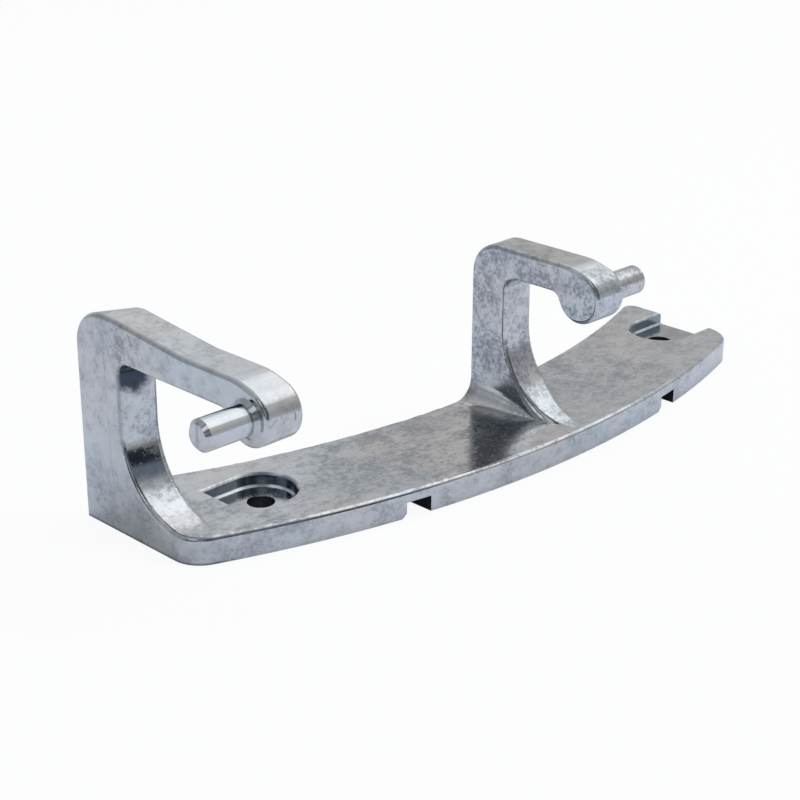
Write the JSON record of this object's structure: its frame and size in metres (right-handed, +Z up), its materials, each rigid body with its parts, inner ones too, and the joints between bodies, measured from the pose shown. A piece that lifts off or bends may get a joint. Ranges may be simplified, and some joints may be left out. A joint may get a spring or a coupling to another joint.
{
  "type": "washing machine door hinge",
  "caption": "Die-cast hinge bracket: a curved screw-on plate with hooked arms whose heads carry outward pins on one axis.",
  "frame": {"origin": "on the flat underside, midway between the two screw holes", "axes": "+X along the line of the screw holes toward the plate's open end, +Y toward the concave back edge, +Z up from the underside"},
  "size_m": [0.173, 0.0548, 0.0436],
  "materials": {
    "zinc": "bright zinc-plated die casting, glossy with a mottled spangle"
  },
  "bodies": {
    "root": {"hinge_bracket": "zinc"}
  },
  "joints": []
}
